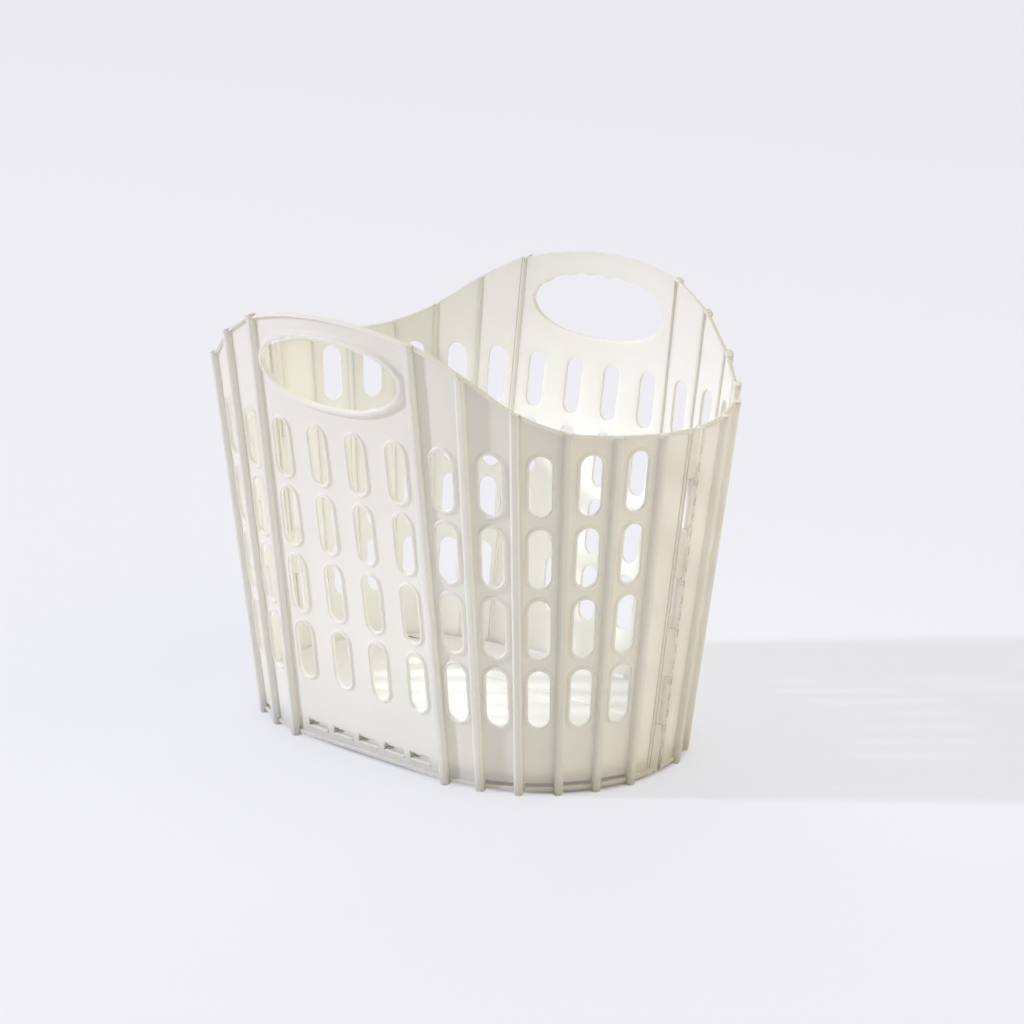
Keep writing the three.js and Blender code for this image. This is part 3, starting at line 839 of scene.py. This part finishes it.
def handle_foot(skin):
    """The foot of the handle panel, with its five windows."""
    columns = np.concatenate([-FOOT_COLUMNS[:0:-1], FOOT_COLUMNS])
    levels = np.array([WALL_FOOT + RIM_TUCK / 2, UNDER_WINDOWS, WINDOW_FOOT, WINDOW_HEAD,
                       OVER_WINDOWS, FIELD_FOOT])
    s, z = np.meshgrid(columns, levels)
    middle = (columns[1:] + columns[:-1]) / 2
    offset = np.abs((middle + WINDOW_PITCH / 2) % WINDOW_PITCH - WINDOW_PITCH / 2)
    in_window = (offset < WINDOW_HALF) & (np.abs(middle) < WINDOWS / 2 * WINDOW_PITCH)
    solid = np.ones((len(levels) - 1, len(middle)), dtype=bool)
    solid[2] = ~in_window
    slab(skin, s, z, solid, ("left", "right", "low"))


def handle_slots(skin):
    """Four columns of slots. The lowest row meets the columns of the panel's foot."""
    outer = (FOOT_COLUMNS[8:] - COLUMN_BORDER) / (HANDLE_EDGE - COLUMN_BORDER)
    inner = FOOT_COLUMNS[:9] / COLUMN_BORDER
    borders = [-HANDLE_EDGE, -COLUMN_BORDER, 0, COLUMN_BORDER, HANDLE_EDGE]
    feet = [1 - outer[::-1], 1 - inner[::-1], inner, outer]
    for k, centre in enumerate(SLOT_COLUMNS):
        left = lambda z, at=borders[k]: at + 0 * z
        right = lambda z, at=borders[k + 1]: at + 0 * z
        walled = {0: ("left",), 3: ("right",)}.get(k, ())
        for row, middle in enumerate(SLOT_MIDDLES):
            foot = feet[k] if row == 0 else TOP_SHARES
            slot_cell(skin, middle, centre, left, right, foot, walled)


def handle():
    """A bowed handle panel. Six rests for the floor stand between and beside its windows."""
    skin = Skin()
    handle_foot(skin)
    handle_slots(skin)
    inner = TOP_SHARES * COLUMN_BORDER
    outer = COLUMN_BORDER + TOP_SHARES[1:] * (HANDLE_EDGE - COLUMN_BORDER)
    columns = np.concatenate([inner, outer])
    hand_hole(skin, np.concatenate([-columns[:0:-1], columns]))
    s = np.linspace(-HANDLE_EDGE, HANDLE_EDGE, 65)
    rod(skin, s, handle_rim(s), LIP_SECTION)
    s = np.array([-HANDLE_EDGE, HANDLE_EDGE])
    rod(skin, s, np.full(2, WALL_FOOT), BAND_SECTION)
    for i in range(WINDOWS + 1):
        x = (i - WINDOWS / 2) * WINDOW_PITCH
        pad(skin, (x - REST_HALF, REST_FOOT, -WALL - REST_REACH),
            (x + REST_HALF, REST_HEAD, -WALL / 2), PAD_RADIUS)
    return skin


# Floor

class Level:
    """World axes, for pieces that lie level: s is x, z is the height and d is -y."""

    def place(self, points):
        """The same point, with depth counted towards the front."""
        s, z, d = np.moveaxis(points, -1, 0)
        return np.stack([s, -d, z], axis=-1)


def floor_corners():
    """The floor's outline on the right of the front half: the wall's inner face at the floor's
    level, moved inwards by the clearance."""
    inset = WALL + FLOOR_CLEARANCE
    quarter = np.stack([corner(i, FLOOR_TOP) for i in range(END + 2)])[:, :2]
    edges = np.diff(quarter, axis=0)
    edges = np.concatenate([[[1.0, 0.0]], edges / np.linalg.norm(edges, axis=1)[:, None]])
    inward = edges[:-1] + edges[1:]
    inward /= np.linalg.norm(inward, axis=1)[:, None]
    shift = inset / (inward * edges[1:]).sum(axis=1)[:, None]
    points = quarter[:-1] + np.stack([-inward[:, 1], inward[:, 0]], axis=-1) * shift
    tip = quarter[-1][0] - WALL - KNUCKLE_RADIUS - FLOOR_CLEARANCE
    last = points[-1]
    end = [tip, last[1] + (tip - last[0]) * math.tan(HEADINGS[-1])]
    points = np.concatenate([points, [end]])
    return points[points[:, 0] <= tip + 1e-6]


def clipped(outline, limit, keep_low):
    """The part of a convex outline on one side of a level line: its corners there, and the points
    where its edges cross the line."""
    edges = np.roll(outline, -1, axis=0) - outline
    kept = (outline[:, 1] <= limit) == keep_low
    cut = kept != np.roll(kept, -1)
    rise = np.where(cut, edges[:, 1], 1.0)[:, None]
    crossings = outline + edges * (limit - outline[:, 1:]) / rise
    points = np.stack([outline, crossings], axis=1).reshape(-1, 2)
    return points[np.stack([kept, cut], axis=1).ravel()]


def floor_hook(skin, middle):
    """A tongue that steps down from the floor's front edge and rests in a window of the wall: its
    section is carried across the window's width."""
    wall = corner(0, FLOOR_TOP)[1]
    y, z = rounded(HOOK_SECTION + [wall, 0], HOOK_ROUNDING, 3).T
    half = WINDOW_HALF - HOOK_ROOM
    x = middle + np.array([-half, HOOK_TAPER - half, half - HOOK_TAPER, half])[:, None] + 0 * y
    shrink = np.array([HOOK_END_SHRINK, 1.0, 1.0, HOOK_END_SHRINK])[:, None]
    skin.solid(np.stack([x, z.mean() + (z - z.mean()) * shrink, -y + 0 * x], axis=-1))


def floor_leaf(front):
    """A leaf of the floor: rings from its centre to its edge and round to the underside, with a
    shallow tray and a raised border. The front leaf carries the hooks."""
    right = floor_corners()
    trim = FLOOR_FAR_CLEARANCE - FLOOR_CLEARANCE
    far = right[::-1] * [1, -1] - [0, trim]
    half = np.concatenate([right, far])
    plan = np.concatenate([half, half[::-1] * [-1, 1]])
    line = FLOOR_FOLD_LINE + (-0.5 if front else 0.5) * FLOOR_FOLD_GAP
    plan = rounded(clipped(plan, line, front), LEAF_CORNER, 3)
    centre = (plan.min(axis=0) + plan.max(axis=0)) / 2
    size = np.abs(plan - centre).max(axis=0)
    skin = Skin()
    rings = []
    for inset, depth in LEAF_RINGS:
        outline = centre + (plan - centre) * (1 - inset / size)
        rings.append(np.stack([outline[:, 0], np.full(len(outline), FLOOR_TOP - depth),
                               -outline[:, 1]], axis=-1))
    skin.solid(np.stack(rings))
    if front:
        for i in range(WINDOWS):
            floor_hook(skin, (i - WINDOWS // 2) * WINDOW_PITCH)
    return skin


# Finishes

def linear(*colour):
    """Screen values turned into the shader's own."""
    value = np.array(colour)
    return (*np.where(value <= 0.04045, value / 12.92, ((value + 0.055) / 1.055) ** 2.4), 1.0)


class Finish:
    """A node material with short ways to add noise, ramps and mixes."""

    def __init__(self, name):
        self.material = bpy.data.materials.new(name)
        self.material.use_nodes = True
        self.nodes = self.material.node_tree.nodes
        self.links = self.material.node_tree.links
        self.nodes.clear()
        self.place = self.add("ShaderNodeTexCoord").outputs["Object"]

    def add(self, kind, **values):
        """A node with the given settings."""
        node = self.nodes.new(kind)
        for key, value in values.items():
            setattr(node, key, value)
        return node

    def noise(self, scale, detail=3.0, roughness=0.55):
        """Even noise of so many blotches to the metre."""
        node = self.add("ShaderNodeTexNoise")
        self.links.new(self.place, node.inputs["Vector"])
        node.inputs["Scale"].default_value = scale
        node.inputs["Detail"].default_value = detail
        node.inputs["Roughness"].default_value = roughness
        return node.outputs["Fac"]

    def span(self, source, low, high, from_low=0.3, from_high=0.7):
        """Stretches a value to lie between two others."""
        node = self.add("ShaderNodeMapRange")
        self.links.new(source, node.inputs["Value"])
        for key, value in (("From Min", from_low), ("From Max", from_high),
                           ("To Min", low), ("To Max", high)):
            node.inputs[key].default_value = value
        return node.outputs["Result"]

    def compute(self, operation, *values):
        """One step of arithmetic on other values or on numbers."""
        node = self.add("ShaderNodeMath", operation=operation)
        for socket, value in zip(node.inputs, values):
            if isinstance(value, float):
                socket.default_value = value
            else:
                self.links.new(value, socket)
        return node.outputs[0]

    def power(self, source, unit, exponent):
        """The size of a value, counted in units, raised to a power."""
        count = self.compute("DIVIDE", self.compute("ABSOLUTE", source), unit)
        return self.compute("POWER", count, exponent)

    def blend(self, share, first, second):
        """A mix of two colours."""
        node = self.add("ShaderNodeMix", data_type="RGBA")
        self.links.new(share, node.inputs["Factor"])
        for socket, colour in ((node.inputs[6], first), (node.inputs[7], second)):
            if isinstance(colour, tuple):
                socket.default_value = colour
            else:
                self.links.new(colour, socket)
        return node.outputs[2]

    def bump(self, height, distance, strength=1.0, under=None):
        """Small hills on the surface, laid over others if given."""
        node = self.add("ShaderNodeBump")
        node.inputs["Distance"].default_value = distance
        node.inputs["Strength"].default_value = strength
        self.links.new(height, node.inputs["Height"])
        if under is not None:
            self.links.new(under, node.inputs["Normal"])
        return node.outputs["Normal"]

    def close(self, shader):
        """Joins the last shader to the output."""
        self.links.new(shader.outputs[0], self.add("ShaderNodeOutputMaterial").inputs["Surface"])
        return self.material


def plastic(name, tone, shade, dust, glow, wave_depth=0.0005):
    """Satin polypropylene: cloudy colour, a fine moulded grain, a soft waviness, faint scuffs that
    are duller, a little dust near the ground, and some light carried under the surface and
    through the wall."""
    finish = Finish(name)
    shader = finish.add("ShaderNodeBsdfPrincipled")
    clouds = finish.span(finish.noise(9.0), 0, 1)
    colour = finish.blend(clouds, linear(*tone), linear(*shade))
    split = finish.add("ShaderNodeSeparateXYZ")
    finish.links.new(finish.place, split.inputs[0])
    low = finish.span(split.outputs["Z"], 0.5, 0, 0.0, 0.03)
    specks = finish.compute("MULTIPLY", low, finish.span(finish.noise(160.0, 4.0), 0, 1))
    colour = finish.blend(specks, colour, linear(*dust))
    finish.links.new(colour, shader.inputs["Base Color"])
    scuffs = finish.span(finish.noise(55.0, 5.0, 0.65), 0.36, 0.52)
    finish.links.new(scuffs, shader.inputs["Roughness"])
    wave = finish.bump(finish.noise(32.0, 1.0), wave_depth)
    grain = finish.bump(finish.noise(1500.0, 2.0), 0.00003, 1.0, wave)
    finish.links.new(grain, shader.inputs["Normal"])
    shader.inputs["IOR"].default_value = PLASTIC_IOR
    shader.inputs["Subsurface Weight"].default_value = UNDER_SHARE
    shader.inputs["Subsurface Radius"].default_value = UNDER_COLOURS
    shader.inputs["Subsurface Scale"].default_value = UNDER_REACH
    through = finish.add("ShaderNodeBsdfTranslucent")
    through.inputs["Color"].default_value = linear(*glow)
    both = finish.add("ShaderNodeMixShader")
    both.inputs[0].default_value = THROUGH_SHARE
    finish.links.new(shader.outputs[0], both.inputs[1])
    finish.links.new(through.outputs[0], both.inputs[2])
    return finish.close(both)


WALL_PLASTIC = plastic("ivory_plastic", (0.975, 0.972, 0.955), (0.965, 0.96, 0.935),
                       (0.88, 0.86, 0.81), (0.995, 0.985, 0.955))
FLOOR_PLASTIC = plastic("pale_floor_plastic", (0.985, 0.982, 0.965), (0.975, 0.972, 0.95),
                        (0.92, 0.91, 0.87), (1.0, 0.995, 0.97), 0.00012)


# Making every piece

QUARTERS = {"front_right": ((1, 1), True), "front_left": ((-1, 1), False),
            "back_left": ((-1, -1), True), "back_right": ((1, -1), False)}
EVEN_SLOTS, ODD_SLOTS = (0, 2, 4, 6), (1, 3, 5)

for quarter, (signs, even) in QUARTERS.items():
    for index in range(END):
        skin = stave(index)
        if (quarter, index) == ("front_right", 2):
            ring_bead(skin, *GATE_MARK)
        make_piece(f"{quarter}_stave_{index + 1}", skin, stave_panel(index), signs, WALL_PLASTIC)
    skin = end_stave(EVEN_SLOTS if even else ODD_SLOTS, even)
    make_piece(f"{quarter}_end_stave", skin, stave_panel(END), signs, WALL_PLASTIC)
    for index in range(END + 1):
        make_piece(f"{quarter}_rib_{index + 1}", rib(index), rib_line(index), signs, WALL_PLASTIC)

for name, signs in (("front", (1, 1)), ("back", (-1, -1))):
    make_piece(f"{name}_handle_panel", handle(), handle_panel(), signs, WALL_PLASTIC)

make_piece("floor_front_leaf", floor_leaf(True), Level(), (1, 1), FLOOR_PLASTIC)
make_piece("floor_back_leaf", floor_leaf(False), Level(), (1, 1), FLOOR_PLASTIC)


# The pale ground, the light and the camera, in metres

def ground():
    """A wide level floor. The camera sees its true shade mixed with an even pale glow, which
    darkens a little far behind the hamper. In an oval under the hamper the glow's share fades
    out, so that the line of contact stays dark."""
    mesh = bpy.data.meshes.new("ground")
    far, near = GROUND_REACH, -GROUND_REACH
    mesh.from_pydata([(near, near, 0), (far, near, 0), (far, far, 0), (near, far, 0)],
                     [], [(0, 1, 2, 3)])
    plane = shown("ground", mesh)
    finish = Finish("pale_ground")
    lit = finish.add("ShaderNodeBsdfDiffuse")
    lit.inputs["Color"].default_value = linear(0.92, 0.925, 0.955)
    split = finish.add("ShaderNodeSeparateXYZ")
    finish.links.new(finish.place, split.inputs[0])
    behind = finish.span(split.outputs["Y"], 0, 1, -0.8, 4.0)
    glow = finish.add("ShaderNodeEmission")
    glow.inputs["Strength"].default_value = 1.0
    pale = finish.blend(behind, linear(0.943, 0.948, 0.97), linear(0.905, 0.906, 0.932))
    finish.links.new(pale, glow.inputs["Color"])
    path = finish.add("ShaderNodeLightPath")
    outwards = finish.compute("ADD", *[
        finish.power(split.outputs[axis], half, OVAL_POWER)
        for axis, half in zip("XY", OVAL_HALVES)])
    seen = finish.compute("MULTIPLY", path.outputs["Is Camera Ray"],
                          finish.span(outwards, 0.05, 0.62, 0.96, 1.06))
    both = finish.add("ShaderNodeMixShader")
    finish.links.new(seen, both.inputs[0])
    finish.links.new(lit.outputs[0], both.inputs[1])
    finish.links.new(glow.outputs[0], both.inputs[2])
    mesh.materials.append(finish.close(both))
    return plane


def direction(azimuth, elevation):
    """The way to a compass side and up, in degrees: 0 is the front and 90 the right side."""
    turn, rise = math.radians(azimuth), math.radians(elevation)
    return Vector((math.sin(turn) * math.cos(rise), -math.cos(turn) * math.cos(rise),
                   math.sin(rise)))


def sunlight(name, azimuth, elevation, angle, strength, colour=(1.0, 1.0, 1.0)):
    """A sun that shines from a compass side, counted as the camera's is. A wide one is a bright
    side of the room."""
    lamp = bpy.data.lights.new(name, "SUN")
    lamp.energy = strength
    lamp.angle = math.radians(angle)
    lamp.color = colour
    towards = direction(azimuth, elevation)
    shown(name, lamp).rotation_euler = towards.to_track_quat("Z", "Y").to_euler()


def spare(lamp_holder, plane):
    """Keeps a lamp's light off the ground."""
    spared = bpy.data.collections.new(lamp_holder.name + "_spares")
    spared.objects.link(plane)
    spared.collection_objects[0].light_linking.link_state = "EXCLUDE"
    lamp_holder.light_linking.receiver_collection = spared


def hung_lamp(name, kind, place, radius, power, colour=(1.0, 1.0, 1.0)):
    """A soft lamp at a place. The camera does not see the lamp itself."""
    lamp = bpy.data.lights.new(name, kind)
    lamp.energy = power
    lamp.color = colour
    lamp.shadow_soft_size = radius
    holder = shown(name, lamp)
    holder.location = place
    holder.visible_camera = False
    return holder


def downlight(place, spread, power):
    """A lamp high over the opening that shines straight down into it."""
    holder = hung_lamp("over_the_opening", "SPOT", place, 0.25, power)
    holder.data.spot_size = math.radians(spread)
    holder.data.spot_blend = 0.6
    return holder


def inner_glow(place, radius, power, colour):
    """A lamp in the middle of the hamper, for the light its pale walls pass between them."""
    return hung_lamp("inner_glow", "POINT", place, radius, power, colour)


def sky(colour, strength):
    """The same soft light from all round."""
    world = bpy.data.worlds.new("soft_room")
    world.use_nodes = True
    nodes = world.node_tree.nodes
    background = nodes["Background"]
    background.inputs["Color"].default_value = (*colour, 1.0)
    background.inputs["Strength"].default_value = strength
    bpy.context.scene.world = world


def camera(azimuth, elevation, roll, distance, target, lens, shift):
    """Stands at a compass side and a height of view round a point, turned by a small roll."""
    turn, tilt = math.radians(azimuth), math.radians(roll)
    away = direction(azimuth, elevation)
    across = Vector((math.cos(turn), math.sin(turn), 0))
    up = away.cross(across)
    right = across * math.cos(tilt) + up * math.sin(tilt)
    top = up * math.cos(tilt) - across * math.sin(tilt)
    data = bpy.data.cameras.new("photo_view")
    data.lens = lens
    data.sensor_width = 36.0
    data.shift_x, data.shift_y = shift
    data.clip_end = 200.0
    holder = shown("photo_view", data)
    frame_of_view = Matrix((right, top, away)).transposed().to_4x4()
    frame_of_view.translation = Vector(target) + away * distance
    holder.matrix_world = frame_of_view
    bpy.context.scene.camera = holder


plane = ground()
sunlight("low_sun", -48, 23, 3.5, 2.1, (0.98, 1.0, 1.12))
sunlight("far_wall", 105, 30, 90, 1.36, (1.15, 1.0, 0.66))
sunlight("ceiling", 0, 88, 70, 1.1, (1.0, 1.0, 1.1))
sunlight("rear_windows", -130, 35, 60, 0.95, (1.0, 1.0, 0.92))
spare(downlight((0, 0, 2.4), 15, 5.0), plane)
spare(inner_glow((0, -0.02, 0.17), 0.08, 0.55, (0.92, 1.0, 1.12)), plane)
sky((1.0, 1.0, 1.0), 0.02)
camera(40.30, 15.29, 0.36, 2.457, (0, 0, 0.25), 88.66, (0.0395, -0.0357))
bpy.context.scene.view_settings.view_transform = "Standard"
